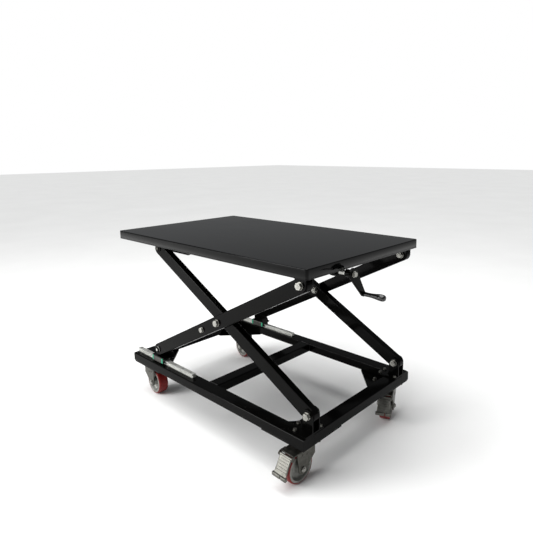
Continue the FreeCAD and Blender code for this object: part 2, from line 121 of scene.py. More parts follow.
looks = {
    # stoved gloss enamel on sheet: deep black, faint orange peel about 3 mm across
    "glossEnamel": {"shader": {"Specular IOR Level": 0.06, "Coat Weight": 0.06, "Coat Roughness": 0.04},
                    "tones": ("#040404", "#090a0a"), "patchMm": 180, "grainMm": 3.2, "grainShare": 0.25,
                    "rough": (0.1, 0.2), "bump": 0.06, "bumpMm": 0.12},
    # powder coat over steel tube: satin black with a fine 1 mm texture, drawn 1.6 mm so that it shows
    "powderCoat": {"shader": {"Specular IOR Level": 0.02, "Coat Weight": 0.11, "Coat Roughness": 0.08},
                   "tones": ("#010101", "#050504"), "patchMm": 90, "grainMm": 1.6, "rough": (0.16, 0.28),
                   "bump": 0.1, "bumpMm": 0.12},
    # ground steel of rails, screw and lower pin caps: bright, with fine lines along X; on the lower pin caps
    # the brightness is a painted highlight
    "railSteel": {"shader": {"Metallic": 0.6}, "tones": ("#b4b5b0", "#dcdcd7"), "patchMm": 60, "grainMm": 3.0,
                  "stretch": (0.03, 1.6, 1.6), "rough": (0.32, 0.5), "bump": 0.12, "bumpMm": 0.05},
    # milled slide block, much darker than the rail
    "blockSteel": {"shader": {"Metallic": 0.75}, "tones": ("#3a3937", "#5b5a56"), "patchMm": 40,
                   "grainMm": 2.4, "stretch": (0.06, 1.5, 1.5), "rough": (0.3, 0.5), "bump": 0.14,
                   "bumpMm": 0.06},
    # moulded nylon end cap, blue-green
    "endCapNylon": {"shader": {"Subsurface Weight": 0.05}, "tones": ("#1c8a67", "#31ad83"), "patchMm": 12,
                    "grainMm": 0.9, "rough": (0.38, 0.5), "bump": 0.12, "bumpMm": 0.06},
    # nitrile wiper seal
    "sealRubber": {"shader": {"Specular IOR Level": 0.3}, "tones": ("#101010", "#1c1c1b"), "patchMm": 10,
                   "grainMm": 0.8, "rough": (0.5, 0.68), "bump": 0.2, "bumpMm": 0.08},
    # zinc plate on pedals and screws, with soft crystal flakes about 4 mm
    "zincPlate": {"shader": {"Metallic": 0.9}, "tones": ("#55544f", "#7c7b75"), "patchMm": 22, "grainMm": 1.4,
                  "flakeMm": 4.0, "flakes": (0.88, 1.0), "rough": (0.26, 0.46), "bump": 0.1, "bumpMm": 0.06},
    # zinc plate toned darker as painted shade, on forks, swivel plates and upper pin caps
    "zincDarkenedAsShade": {"shader": {"Metallic": 0.9}, "tones": ("#3c3b37", "#63625c"), "patchMm": 18,
                   "grainMm": 1.4, "flakeMm": 4.0, "flakes": (0.86, 1.0), "rough": (0.26, 0.44), "bump": 0.1,
                   "bumpMm": 0.06},
    # nickel-plated turned steel
    "brightNickel": {"shader": {"Metallic": 0.85}, "tones": ("#868580", "#aeada7"), "patchMm": 14,
                     "grainMm": 1.0, "rough": (0.2, 0.34), "bump": 0.05, "bumpMm": 0.03},
    # blackened high-tensile screws
    "blackOxide": {"shader": {"Metallic": 1.0}, "tones": ("#1f1f20", "#343435"), "patchMm": 8, "grainMm": 0.8,
                   "rough": (0.3, 0.48), "bump": 0.12, "bumpMm": 0.05},
    # grey iron casting: sandy skin about 1.5 mm
    "castIron": {"shader": {"Metallic": 0.7}, "tones": ("#6f6f6b", "#9a9a95"), "patchMm": 20, "grainMm": 1.5,
                 "rough": (0.42, 0.62), "bump": 0.3, "bumpMm": 0.2},
    # cast polyurethane tread: deep red, slightly waxy
    "redPolyurethane": {"shader": {"Specular IOR Level": 0.3}, "tones": ("#5c0a07", "#7c130d"),
                        "patchMm": 26, "grainMm": 1.8, "rough": (0.34, 0.52), "bump": 0.14, "bumpMm": 0.12},
    # turned bronze nut
    "turnedBronze": {"shader": {"Metallic": 1.0}, "tones": ("#8f6a38", "#b98f52"), "patchMm": 15,
                     "grainMm": 1.0, "rough": (0.25, 0.42), "bump": 0.1, "bumpMm": 0.05},
    # glossy phenolic handle
    "phenolicGrip": {"shader": {"Coat Weight": 0.4}, "tones": ("#050505", "#0c0c0c"), "patchMm": 30,
                     "grainMm": 1.6, "rough": (0.16, 0.28), "bump": 0.05, "bumpMm": 0.05},
    # arc weld bead under the coat, a little rougher than the tube
    "weldBead": {"shader": {"Specular IOR Level": 0.2}, "tones": ("#040404", "#0b0b0b"), "patchMm": 9,
                 "grainMm": 1.2, "rough": (0.25, 0.42), "bump": 0.3, "bumpMm": 0.25},
}
finishes = {name: surfaceFinish(name, look) for name, look in looks.items()}
print("finishes made:", len(finishes))


# mesh helpers

def turn(axis, degrees):
    return Matrix.Rotation(math.radians(degrees), 4, axis)


def at(x, y, z):
    return Matrix.Translation((x, y, z))


def movedVerts(made):
    return [item for item in made["geom"] if isinstance(item, bmesh.types.BMVert)]


def lathe(outline, steps=48):
    # (radius, z) outline spun round Z
    shape = bmesh.new()
    verts = [shape.verts.new((radius, 0, z)) for radius, z in outline]
    edges = [shape.edges.new(pair) for pair in zip(verts, verts[1:])]
    bmesh.ops.spin(shape, geom=verts + edges, cent=(0, 0, 0), axis=(0, 0, 1), angle=2 * math.pi,
                   steps=steps, use_merge=True)
    bmesh.ops.remove_doubles(shape, verts=shape.verts, dist=0.001)
    return shape


def slab(outline, thick):
    # flat outline raised by thick along Z
    shape = bmesh.new()
    face = shape.faces.new([shape.verts.new((x, y, 0)) for x, y in outline])
    made = bmesh.ops.extrude_face_region(shape, geom=[face])
    bmesh.ops.translate(shape, vec=(0, 0, thick), verts=movedVerts(made))
    return shape


def block(low, high):
    shape = bmesh.new()
    bmesh.ops.create_cube(shape, size=1.0)
    low, high = Vector(low), Vector(high)
    bmesh.ops.scale(shape, vec=high - low, verts=shape.verts)
    bmesh.ops.translate(shape, vec=(low + high) / 2, verts=shape.verts)
    return shape


def bar(length, startRadius, endRadius, thick, segments=48):
    # round-ended bar along +X from the origin, thick along Z, centred on it
    shape = bmesh.new()
    bmesh.ops.create_circle(shape, cap_ends=True, radius=1.0, segments=segments,
                            matrix=turn("Z", 180 / segments))
    for vert in shape.verts:
        ahead = vert.co.x > 0
        vert.co *= endRadius if ahead else startRadius
        vert.co.x += length if ahead else 0
    made = bmesh.ops.extrude_face_region(shape, geom=shape.faces[:])
    bmesh.ops.translate(shape, vec=(0, 0, thick), verts=movedVerts(made))
    bmesh.ops.translate(shape, vec=(0, 0, -thick / 2), verts=shape.verts)
    return shape


def soften(shape, width, segments=2, angle=30.0, pick=None):
    # round every edge sharper than the angle
    bmesh.ops.recalc_face_normals(shape, faces=shape.faces)
    edges = [edge for edge in shape.edges if len(edge.link_faces) == 2
             and edge.calc_face_angle(0) > math.radians(angle) and (pick is None or pick(edge))]
    bmesh.ops.bevel(shape, geom=edges, offset=width, offset_type="OFFSET", segments=segments, profile=0.5,
                    affect="EDGES", material=-1, clamp_overlap=True)
    return shape


def along(axis):
    # picks the edges that run along one axis
    return lambda edge: abs((edge.verts[0].co - edge.verts[1].co).normalized()[axis]) > 0.999


def joined(*parts):
    whole = bmesh.new()
    for shape, place in parts:
        bmesh.ops.transform(shape, matrix=place, verts=shape.verts)
        scrap = bpy.data.meshes.new("scrap")
        shape.to_mesh(scrap)
        shape.free()
        whole.from_mesh(scrap)
        bpy.data.meshes.remove(scrap)
    return whole


def mirroredCopy(shape, middle):
    # the same shape on the far side of the table's middle plane
    far = shape.copy()
    bmesh.ops.scale(far, vec=(1, -1, 1), verts=far.verts)
    bmesh.ops.translate(far, vec=(0, 2 * middle, 0), verts=far.verts)
    bmesh.ops.reverse_faces(far, faces=far.faces)
    return far


def hexHead(across, height, segments=36):
    # hexagon with its top turned to a 30 degree chamfer
    shape = bmesh.new()
    bmesh.ops.create_circle(shape, cap_ends=True, radius=1.0, segments=segments)
    flat, face = across / 2, 0.95 * across / 2
    for vert in shape.verts:
        angle = math.degrees(math.atan2(vert.co.y, vert.co.x)) % 60 - 30
        vert.co *= flat / math.cos(math.radians(angle))
    made = movedVerts(bmesh.ops.extrude_face_region(shape, geom=shape.faces[:]))
    for vert in made:
        vert.co.z = height - (vert.co.xy.length - face) * math.tan(math.radians(30))
    top = [f for f in shape.faces if all(v in made for v in f.verts)]
    made = movedVerts(bmesh.ops.extrude_face_region(shape, geom=top))
    bmesh.ops.delete(shape, geom=[f for f in top if f.is_valid], context="FACES_KEEP_BOUNDARY")
    for vert in made:
        vert.co.xy = vert.co.xy.normalized() * face
        vert.co.z = height
    return shape


def washer(radius, thick, bore):
    return lathe([(bore, 0), (radius - 0.4, 0), (radius, 0.4), (radius, thick - 0.4), (radius - 0.4, thick),
                  (bore, thick), (bore, 0)], 40)


def threadEnd(radius, length, pitch=2.0):
    # the ringed end of a bolt past its nut
    outline, z = [(0, 0), (radius, 0)], 0.0
    while z + pitch < length - 1:
        outline += [(radius, z + 0.3 * pitch), (radius - 0.6, z + 0.6 * pitch), (radius, z + pitch)]
        z += pitch
    return lathe(outline + [(radius - 0.8, length), (0, length)], 28)


def fromCad(node):
    # clean copy of a CAD node's mesh, its flat faces whole again
    shape = bmesh.new()
    shape.from_mesh(nodes[node].data)
    bmesh.ops.scale(shape, vec=(1000, 1000, 1000), verts=shape.verts)
    bmesh.ops.remove_doubles(shape, verts=shape.verts, dist=0.002)
    bmesh.ops.dissolve_limit(shape, angle_limit=math.radians(1), verts=shape.verts, edges=shape.edges,
                             use_dissolve_boundaries=False, delimit=set())
    return shape


def makePiece(shape, name, finish, body, stands=(), smooth=35.0):
    bmesh.ops.recalc_face_normals(shape, faces=shape.faces)
    bmesh.ops.scale(shape, vec=(0.001, 0.001, 0.001), verts=shape.verts)
    mesh = bpy.data.meshes.new(name)
    shape.to_mesh(mesh)
    shape.free()
    mesh.polygons.foreach_set("use_smooth", [True] * len(mesh.polygons))
    mesh.set_sharp_from_angle(angle=math.radians(smooth))
    mesh.materials.append(finishes[finish])
    piece = bpy.data.objects.new(name, mesh)
    bpy.context.scene.collection.objects.link(piece)
    flats = piece.modifiers.new("Flat faces", "WEIGHTED_NORMAL")
    flats.keep_sharp = True
    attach(piece, body)
    if stands:
        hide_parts(*stands)
    return piece


def refinish(finish, *names):
    for name in names:
        nodes[name].data.materials.clear()
        nodes[name].data.materials.append(finishes[finish])


middleY = spots["lift"].y


# table top: one folded tray with rounded corners
topTray = {"sheet": 3.0, "corner": 10.0, "rim": 3.0}
low, high = mmBox("table_top")
tray = block(low, high)
soften(tray, topTray["corner"], 8, pick=along(2))
soften(tray, topTray["rim"], 4, angle=50, pick=lambda edge: min(v.co.z for v in edge.verts) > high.z - 0.1)
under = [face for face in tray.faces if face.normal.z < -0.9]
bmesh.ops.delete(tray, geom=under, context="FACES")
trayPiece = makePiece(tray, "top_tray", "glossEnamel", "table", ["table_top"],
                      smooth=40)
folded = trayPiece.modifiers.new("Sheet", "SOLIDIFY")
folded.thickness, folded.offset = topTray["sheet"] / 1000, -1.0
refinish("powderCoat", "top_frame")
print("table top made")

# base frame: box tubes with rounded long edges, welded where they meet
baseTube = {"round": 4.0, "endRound": 0.7, "bead": 2.6, "valley": 0.84, "ripple": 3.2}
for node, axis in (("base_side_front", 0), ("base_side_rear", 0), ("base_end_left", 1), ("base_end_right", 1),
                   ("base_cross_beam", 1)):
    tube = block(*mmBox(node))
    soften(tube, baseTube["round"], 5, pick=along(axis))
    soften(tube, baseTube["endRound"], 2, angle=60)
    makePiece(tube, node.replace("base", "tube"), "powderCoat", "base", [node])


def beadShape(length):
    # a rippled rod: every other ring is a little narrower
    outline = [(0, 0)]
    steps = int(length / (baseTube["ripple"] / 2))
    for step in range(steps + 1):
        share = 1.0 if step % 2 else baseTube["valley"]
        outline.append((baseTube["bead"] * share, length * step / steps))
    return lathe(outline + [(0, length)], 12)


sideLow, sideHigh = mmBox("base_side_front")
beads = []
for node in ("base_end_left", "base_end_right", "base_cross_beam"):
    low, high = mmBox(node)
    for y in (low.y, high.y):
        for x in (low.x, high.x):
            # no upright bead at the frame's outer corners
            if sideLow.x + 5 < x < sideHigh.x - 5:
                beads.append((beadShape(high.z - low.z - 6), at(x, y, low.z + 3)))
        for z in (low.z + 0.6, high.z - 0.6):
            beads.append((beadShape(high.x - low.x - 8), at(low.x + 4, y, z) @ turn("Y", 90)))
makePiece(joined(*beads), "weld_beads", "weldBead", "base")

for node in ("corner_plates", "lower_bracket_front", "lower_bracket_rear"):
    makePiece(soften(fromCad(node), 0.8, 2, angle=45), "soft_" + node, "powderCoat", "base", [node])
for node in ("upper_bracket_front", "upper_bracket_rear", "bearing_block"):
    makePiece(soften(fromCad(node), 0.8, 2, angle=45), "soft_" + node, "powderCoat", "table", [node])
print("base frame made")

# arms: round-ended bars with rolled edges
armBar = {"radius": 28.0, "thick": 30.0, "edge": 3.2, "segments": 62}
armRuns = {"outer_arm": ("outer_arms", "lower_slide", "table_level"),
           "inner_arm": ("inner_arms", "upper_slide", "lift")}
for arm, (body, left, right) in armRuns.items():
    start, end = spots[left], spots[right]
    run = end - start
    climb = math.degrees(math.atan2(run.z, run.x))
    for side in ("front", "rear"):
        low, high = mmBox(arm + "_" + side)
        shape = bar(run.length, armBar["radius"], armBar["radius"], armBar["thick"], armBar["segments"])
        soften(shape, armBar["edge"], 4, angle=60)
        place = at(start.x, (low.y + high.y) / 2, start.z) @ turn("Y", -climb) @ turn("X", 90)
        makePiece(joined((shape, place)), arm.replace("arm", "bar") + "_" + side, "powderCoat", body,
                  [arm + "_" + side])
print("arms made")


# hex bolts across the table, head in front, washers both sides, nut behind
pivotBolt = {"across": 24.0, "radius": 8.0, "head": 10.0, "disc": 15.0, "washer": 2.5, "nut": 10.5,
             "thread": 13.5}


def crossBolt(x, z, y0, y1):
    bolt = pivotBolt
    front, back = turn("X", 90), turn("X", -90)
    radius = bolt["radius"]
    shank = lathe([(0, 0), (radius, 0), (radius, y1 - y0 + 2), (0, y1 - y0 + 2)], 28)
    nut = joined((hexHead(bolt["across"], bolt["nut"]), Matrix()),
                 (threadEnd(radius, bolt["thread"]), Matrix()))
    return joined((hexHead(bolt["across"], bolt["head"]), at(x, y0 - bolt["washer"], z) @ front),
                  (washer(bolt["disc"], bolt["washer"], radius), at(x, y0, z) @ front),
                  (shank, at(x, y1 + 1, z) @ front),
                  (washer(bolt["disc"], bolt["washer"], radius), at(x, y1, z) @ back),
                  (nut, at(x, y1 + bolt["washer"], z) @ back))


def bothSides(shape):
    far = mirroredCopy(shape, middleY)
    return joined((shape, Matrix()), (far, Matrix()))


earReach = 6.0
outerLow, outerHigh = mmBox("outer_arm_front")
innerLow, innerHigh = mmBox("inner_arm_front")
centre, pivotLow, pivotHigh = spots["scissor"], spots["lift"], spots["table_level"]
makePiece(bothSides(crossBolt(pivotLow.x, pivotLow.z, innerLow.y - earReach, innerHigh.y + earReach)),
          "pivot_bolts_low", "brightNickel", "base", ["lower_pivot_bolts"])
makePiece(bothSides(crossBolt(pivotHigh.x, pivotHigh.z, outerLow.y - earReach, outerHigh.y + earReach)),
          "pivot_bolts_high", "brightNickel", "table", ["upper_pivot_bolts"])

# the second bolt on each outer arm, and the spacer between the arms at their centre
stopBolt = {"back": 118.0, "radius": 6.0, "across": 20.0, "head": 7.0, "disc": 12.0, "washer": 2.0}
run = spots["table_level"] - spots["lower_slide"]
stop = centre - run.normalized() * stopBolt["back"]
centreBolt = crossBolt(centre.x, centre.z, outerLow.y, innerHigh.y + 0.4)
spacer = lathe([(8, 0), (16, 0), (16, 2.6), (8, 2.6), (8, 0)], 40)
stopShape = joined((hexHead(stopBolt["across"], stopBolt["head"]),
                    at(stop.x, outerLow.y - stopBolt["washer"], stop.z) @ turn("X", 90)),
                   (washer(stopBolt["disc"], stopBolt["washer"], stopBolt["radius"]),
                    at(stop.x, outerLow.y, stop.z) @ turn("X", 90)))
makePiece(bothSides(joined((centreBolt, Matrix()), (stopShape, Matrix()),
                           (spacer, at(centre.x, outerHigh.y + 2.8, centre.z) @ turn("X", 90)))),
          "scissor_bolts", "brightNickel", "outer_arms", ["arm_bolts"])
print("bolts made")

# rails without counterbores; a row of screw heads shows just above each one's face
railShape = {"half": 10.0, "height": 17.5, "waist": 5.6, "lip": 4.6, "slope": 2.0}
railScrew = {"radius": 4.4, "socket": 3.0, "depth": 6.5, "proud": 0.25, "first": 15.0, "pitch": 60.0,
             "count": 8}


def railOutline():
    half, height, waist, lip = [railShape[key] for key in ("half", "height", "waist", "lip")]
    inner = lip + railShape["slope"]
    right = [(half, 0), (half, lip), (waist, inner), (waist, height - inner),
             (half, height - lip), (half, height)]
    return right + [(-y, z) for y, z in reversed(right)]


def railCap():
    radius, socket, depth = railScrew["radius"], railScrew["socket"], railScrew["depth"]
    return lathe([(0, -socket), (2.0, -socket), (2.3, -0.2), (2.6, 0), (radius - 0.5, 0), (radius, -0.5),
                  (radius, -depth), (0, -depth)], 20)


for rail, body, up in (("lower_rail", "base", 1), ("upper_rail", "table", -1)):
    caps = []
    flip = turn("X", 0 if up > 0 else 180)
    for side in ("front", "rear"):
        node = rail + "_" + side
        low, high = mmBox(node)
        middle = (low.y + high.y) / 2
        foot, face = (low.z, high.z) if up > 0 else (high.z, low.z)
        ground = soften(slab(railOutline(), high.x - low.x), 0.5, 2)
        lie = at(low.x, middle, foot) @ flip @ turn("Z", 90) @ turn("X", 90)
        makePiece(joined((ground, lie)), "ground_" + node, "railSteel", body, [node])
        for step in range(railScrew["count"]):
            x = low.x + railScrew["first"] + step * railScrew["pitch"]
            caps.append((railCap(), at(x, middle, face + up * railScrew["proud"]) @ flip))
    makePiece(joined(*caps), rail + "_screws", "blackOxide", body)

# slide blocks: steel body, blue-green end caps and black wiper seals
slideBlock = {"bodyLength": 68.0, "capLength": 9.0, "sealLength": 3.0, "half": 22.0, "foot": 4.6, "top": 30.0,
              "bevel": 3.0, "slotHalf": 10.4, "slotTop": 17.9, "screwOut": 15.0, "screwUp": 20.0}


def blockOutline(shrink):
    half, top = slideBlock["half"] - shrink, slideBlock["top"] - shrink
    foot, cut = slideBlock["foot"] + shrink, slideBlock["bevel"]
    slotHalf, slotTop = slideBlock["slotHalf"], slideBlock["slotTop"]
    return [(-half, foot), (-half, top - cut), (cut - half, top), (half - cut, top), (half, top - cut),
            (half, foot), (slotHalf, foot), (slotHalf, slotTop), (-slotHalf, slotTop), (-slotHalf, foot)]


def capScrewShape():
    return lathe([(0, 1.0), (1.2, 1.0), (1.4, 1.8), (2.4, 1.8), (2.9, 1.2), (2.9, 0), (0, 0)], 18)


for node, body, up in (("lower_block", "lower_carriage", 1), ("upper_block", "upper_carriage", -1)):
    steel, caps, seals, capScrews = [], [], [], []
    half = slideBlock["bodyLength"] / 2
    end = half + slideBlock["capLength"]
    for side in ("front", "rear"):
        low, high = mmBox(node + "_" + side)
        seat = low.z - slideBlock["foot"] if up > 0 else high.z + slideBlock["foot"]
        flip = turn("X", 0 if up > 0 else 180)
        stand = at((low.x + high.x) / 2, (low.y + high.y) / 2, seat) @ flip @ turn("Z", 90) @ turn("X", 90)
        steel.append((soften(slab(blockOutline(0), 2 * half), 0.6, 2), stand @ at(0, 0, -half)))
        for way in (-1, 1):
            start = half if way > 0 else -end
            cap = soften(slab(blockOutline(0.5), slideBlock["capLength"]), 1.2, 3)
            caps.append((cap, stand @ at(0, 0, start)))
            start = end if way > 0 else -end - slideBlock["sealLength"]
            seal = soften(slab(blockOutline(1.2), slideBlock["sealLength"]), 0.8, 2)
            seals.append((seal, stand @ at(0, 0, start)))
            for across in (-slideBlock["screwOut"], slideBlock["screwOut"]):
                screw = capScrewShape()
                face = way * (end + slideBlock["sealLength"] - 1.2)
                facing = turn("X", 0 if way > 0 else 180)
                capScrews.append((screw, stand @ at(across, slideBlock["screwUp"], face) @ facing))
    for parts, label, finish in ((steel, "steel", "blockSteel"), (caps, "caps", "endCapNylon"),
                                 (seals, "seals", "sealRubber"), (capScrews, "screws", "brightNickel")):
        stands = [node + "_front", node + "_rear"] if label == "steel" else ()
        makePiece(joined(*parts), node + "_" + label, finish, body, stands)

# lugs carry the arms' sliding ends; domed caps close their pins, painted bright as lit on the lower lugs and
# darker as shade on the upper ones
for node, body, joint, armFace in (("lower_lug", "lower_carriage", "lower_slide", outerLow.y),
                                   ("upper_lug", "upper_carriage", "upper_slide", innerLow.y)):
    for side in ("front", "rear"):
        lug = node + "_" + side
        makePiece(soften(fromCad(lug), 0.8, 2, angle=45), "soft_" + lug, "powderCoat", body, [lug])
    dome = lathe([(0, 7.6), (4, 7.5), (8, 6.9), (11.5, 5.6), (13.6, 3.6), (14.4, 1.5), (14.4, 0.2),
                  (0, 0.2)], 48)
    # alike caps: bright steel as painted light below, darkened zinc as painted shade above
    capLitOrShadedFinish = "railSteel" if node == "lower_lug" else "zincDarkenedAsShade"
    makePiece(bothSides(joined((dome, at(spots[joint].x, armFace - 0.2, spots[joint].z) @ turn("X", 90)))),
              node + "_pin_caps", capLitOrShadedFinish, body)
refinish("powderCoat", "drive_bar")
print("slides made")

# lead screw: trapezoidal thread on the nut's travel, plain at the bearing end
leadScrew = {"radius": 9.0, "root": 7.4, "pitch": 5.0, "turnSteps": 14, "plain": 150.0}
low, high = mmBox("lead_screw")
screwAt = (low + high) / 2
pitch = leadScrew["pitch"]
turns = int((high.x - leadScrew["plain"] - low.x - 6) / pitch)
thread = bmesh.new()
root, radius = leadScrew["root"], leadScrew["radius"]
profile = [(root, 0.0), (root, 0.3), (radius, 0.42), (radius, 0.82), (root, 1.0)]
verts = [thread.verts.new((out, 0, pitch * share)) for out, share in profile]
edges = [thread.edges.new(pair) for pair in zip(verts, verts[1:])]
bmesh.ops.spin(thread, geom=verts + edges, cent=(0, 0, 0), axis=(0, 0, 1),
               dvec=(0, 0, pitch / leadScrew["turnSteps"]), angle=2 * math.pi * turns,
               steps=leadScrew["turnSteps"] * turns)
bmesh.ops.remove_doubles(thread, verts=thread.verts, dist=0.01)
shoulder = leadScrew["plain"] + 2
plain = lathe([(0, 0), (8.2, 0), (radius, 0.8), (radius, shoulder), (0, shoulder)], 28)
tip = lathe([(0, 0), (6.6, 0), (7.3, 0.8), (7.3, 8), (0, 8)], 28)
core = lathe([(0, 0), (7.2, 0), (7.2, high.x - low.x - 20), (0, high.x - low.x - 20)], 20)
lieX = turn("Y", 90)
screwLine = at(low.x, screwAt.y, screwAt.z)
makePiece(joined((thread, screwLine @ at(5, 0, 0) @ lieX), (tip, screwLine @ lieX),
                 (core, screwLine @ at(4, 0, 0) @ lieX),
                 (plain, at(high.x, screwAt.y, screwAt.z) @ turn("Y", -90))),
          "threaded_screw", "railSteel", "crank", ["lead_screw"])
low, high = mmBox("drive_nut")
nut = lathe([(9.1, 0), (25.2, 0), (26, 0.8), (26, 7.2), (25.2, 8), (15.6, 8), (15, 8.6), (15, 37), (14, 38),
             (9.1, 38), (9.1, 0)], 48)
nutBolts = [(hexHead(8, 4), at(0, 0, 8) @ turn("Z", 90 * step + 45) @ at(20.5, 0, 0)) for step in range(4)]
nutLine = at(low.x, screwAt.y, screwAt.z) @ lieX
makePiece(joined((nut, nutLine), (joined(*nutBolts), nutLine)),
          "screw_nut", "turnedBronze", "upper_carriage", ["drive_nut"])

# crank: tapered arm, sleeve on the screw, bright bolt and a bulged grip
crankHandle = {"hub": 22.0, "tip": 10.0, "thick": 10.0, "edge": 1.6}
hubAt, tipAt = spots["crank_turn"], spots["grip_spin"]
reach = Vector((0, tipAt.y - hubAt.y, tipAt.z - hubAt.z))
swing = math.degrees(math.atan2(reach.z, reach.y))
web = soften(bar(reach.length, crankHandle["hub"], crankHandle["tip"], crankHandle["thick"]),
             crankHandle["edge"], 3, angle=60)
# the bar lies along X with its thickness along Z; stand it across the screw
upright = turn("X", swing) @ turn("Z", 90) @ turn("X", 90)
stand = at(hubAt.x + crankHandle["thick"] / 2, hubAt.y, hubAt.z) @ upright
sleeve = lathe([(9.05, 0), (13, 0), (14, 1), (14, 24.5), (9.05, 24.5), (9.05, 0)], 40)
makePiece(joined((web, stand), (sleeve, at(hubAt.x - 24, hubAt.y, hubAt.z) @ lieX)),
          "crank_web", "powderCoat", "crank", ["crank_arm"])
face = hubAt.x + crankHandle["thick"]
hubBolt = joined((hexHead(17, 7), at(0, 0, 2)), (washer(12, 2, 5), Matrix()),
                 (lathe([(0, 9.2), (3.4, 9.2), (4, 8.6), (4, 8), (0, 8)], 24), Matrix()))
makePiece(joined((hubBolt, at(face, hubAt.y, hubAt.z) @ lieX)), "crank_bolt", "brightNickel", "crank")
low, high = mmBox("crank_grip")
length = high.x - low.x
grip = lathe([(0, 0), (6.4, 0), (7.4, 0.6), (8.2, 2.2), (8.4, 5), (8.1, 12), (8.0, 24), (8.6, 36), (9.9, 48),
              (11.4, 58), (12.3, 68), (12.5, 74), (12.1, 80), (10.8, length - 4.5), (8.4, length - 1.2),
              (5, length - 0.2), (0, length)], 48)
makePiece(joined((grip, at(low.x, tipAt.y, tipAt.z) @ lieX)), "moulded_grip", "phenolicGrip", "grip",
          ["crank_grip"], smooth=60)
print("drive and crank made")


# casters, in their own frame: kingpin at the origin, wheel trailing along +X, floor at z 0
caster = {"trail": 34.0, "wheel": 62.5, "half": 24.0, "core": 56.0, "plate": (114.0, 100.0, 6.0),
          "plateTop": 156.0, "crown": 135.0, "gauge": 5.0, "outer": 35.0, "front": -30.0, "roof": 62.0,
          "bend": 9.0, "boss": 21.0, "rivets": ((12.0, 112.0), (36.0, 117.0))}
brake = {"roofEnd": 82.0, "hinge": (85.0, 122.0), "foot": (116.5, 64.0), "halfTop": 26.0,
         "halfFoot": 31.0, "ribs": 5}


def cutBehind(shape, point, normal):
    # drops what lies behind the plane
    bmesh.ops.bisect_plane(shape, geom=shape.verts[:] + shape.edges[:] + shape.faces[:], plane_co=point,
                           plane_no=normal, clear_inner=True)


def crownEdge(edge):
    # lengthwise edges at the top of the fork
    return along(0)(edge) and edge.verts[0].co.z > caster["crown"] - 1


def forkShape(braked):
    # channel bent over the wheel, its legs slanted down to the axle
    trail, axle, roof = caster["trail"], caster["wheel"], caster["roof"]
    crown, outer, boss = caster["crown"], caster["outer"], caster["boss"]
    shape = block((caster["front"], -outer, axle - 2), (roof, outer, crown))
    soften(shape, caster["bend"], 5, pick=crownEdge)
    ends = [face for face in shape.faces if abs(face.normal.x) > 0.99 or face.normal.z < -0.99]
    bmesh.ops.delete(shape, geom=ends, context="FACES")
    for (x0, z0), (x1, z1), side in (((caster["front"], crown - 36), (trail - boss, axle), 1),
                                     ((roof, crown - 10), (trail + boss, axle), -1)):
        cutBehind(shape, (x0, 0, z0), Vector((z0 - z1, 0, x1 - x0)).normalized() * side)
    cutBehind(shape, (0, 0, axle), (0, 0, 1))
    bmesh.ops.recalc_face_normals(shape, faces=shape.faces)
    # the sheet thickens inwards, so the channel keeps its outer size
    bmesh.ops.solidify(shape, geom=shape.faces[:], thickness=caster["gauge"])
    soften(shape, 0.7, 2, angle=60)
    parts = [(shape, Matrix())]
    for side in (-1, 1):
        outward = turn("X", -90 * side)
        ring = lathe([(6.05, 0), (boss - 0.8, 0), (boss, 0.8), (boss, 5.0), (boss - 0.8, 5.6), (6.05, 5.6),
                      (6.05, 0)], 48)
        parts.append((ring, at(trail, side * (outer - 5.2), axle) @ outward))
        for x, z in caster["rivets"]:
            rivet = lathe([(0, 2.2), (2.4, 1.9), (4, 1.0), (4.4, 0), (0, 0)], 20)
            parts.append((rivet, at(x, side * outer, z) @ outward))
    dome = lathe([(8.05, 7), (22, 7), (27, 5.8), (30, 3), (31, 0.5), (31, -1), (8.05, -1), (8.05, 7)], 56)
    parts.append((dome, at(0, 0, crown)))
    if braked:
        roofSheet = block((58, -outer, crown - 6), (brake["roofEnd"], outer, crown))
        soften(roofSheet, 4.0, 4, angle=60, pick=crownEdge)
        soften(roofSheet, 0.8, 2, angle=60)
        parts.append((roofSheet, Matrix()))
        x, z = brake["hinge"]
        for side in (-1, 1):
            knuckle = lathe([(0, 0), (8.2, 0), (9, 0.8), (9, 3.4), (8.2, 4.2), (0, 4.2)], 32)
            parts.append((knuckle, at(x - 1, side * 31.2, z + 1) @ turn("X", -90 * side)))
    return joined(*parts)


def plateShape():
    # top plate, swivel race and kingpin nut
    half = Vector(caster["plate"]) / 2
    bottom = caster["plateTop"] - caster["plate"][2]
    plate = block((-half.x, -half.y, bottom), (half.x, half.y, caster["plateTop"]))
    soften(plate, 8.0, 6, pick=along(2))
    soften(plate, 1.0, 3, angle=60)
    race = lathe([(8, 0.5), (33, 0.5), (33, -2.4), (31.6, -3.4), (31.6, -4.6), (32.4, -5.4), (31.4, -7.2),
                  (8, -7.2), (8, 0.5)], 56)
    down = turn("X", 180)
    pin = joined((hexHead(22, 7), at(0, 0, bottom - 22) @ down), (threadEnd(8, 28), at(0, 0, bottom) @ down))
    return joined((plate, Matrix()), (race, at(0, 0, bottom)), (pin, Matrix()))


def coreShape():
    # cast centre: hub, dished web and rim
    half, rim = caster["half"], caster["core"]
    side = [(6.1, 29.3), (12, 29.3), (15.6, 28.4), (17, 26), (18.4, 13), (21, 9), (25, 7), (37, 7), (41, 9),
            (44, 13), (46.8, half - 2), (48.4, half - 0.4), (rim - 0.8, half - 0.4), (rim, half - 1.2)]
    return lathe(side + [(r, -z) for r, z in reversed(side)] + side[:1], 72)


def treadShape():
    half, core, wheel = caster["half"], caster["core"], caster["wheel"]
    side = [(core, half - 0.8), (core + 1.6, half - 0.5), (wheel - 2.8, half - 1.8),
            (wheel - 1.2, half - 3.6), (wheel - 0.3, half - 7), (wheel, half - 13)]
    return lathe(side + [(r, -z) for r, z in reversed(side)] + side[:1], 96)


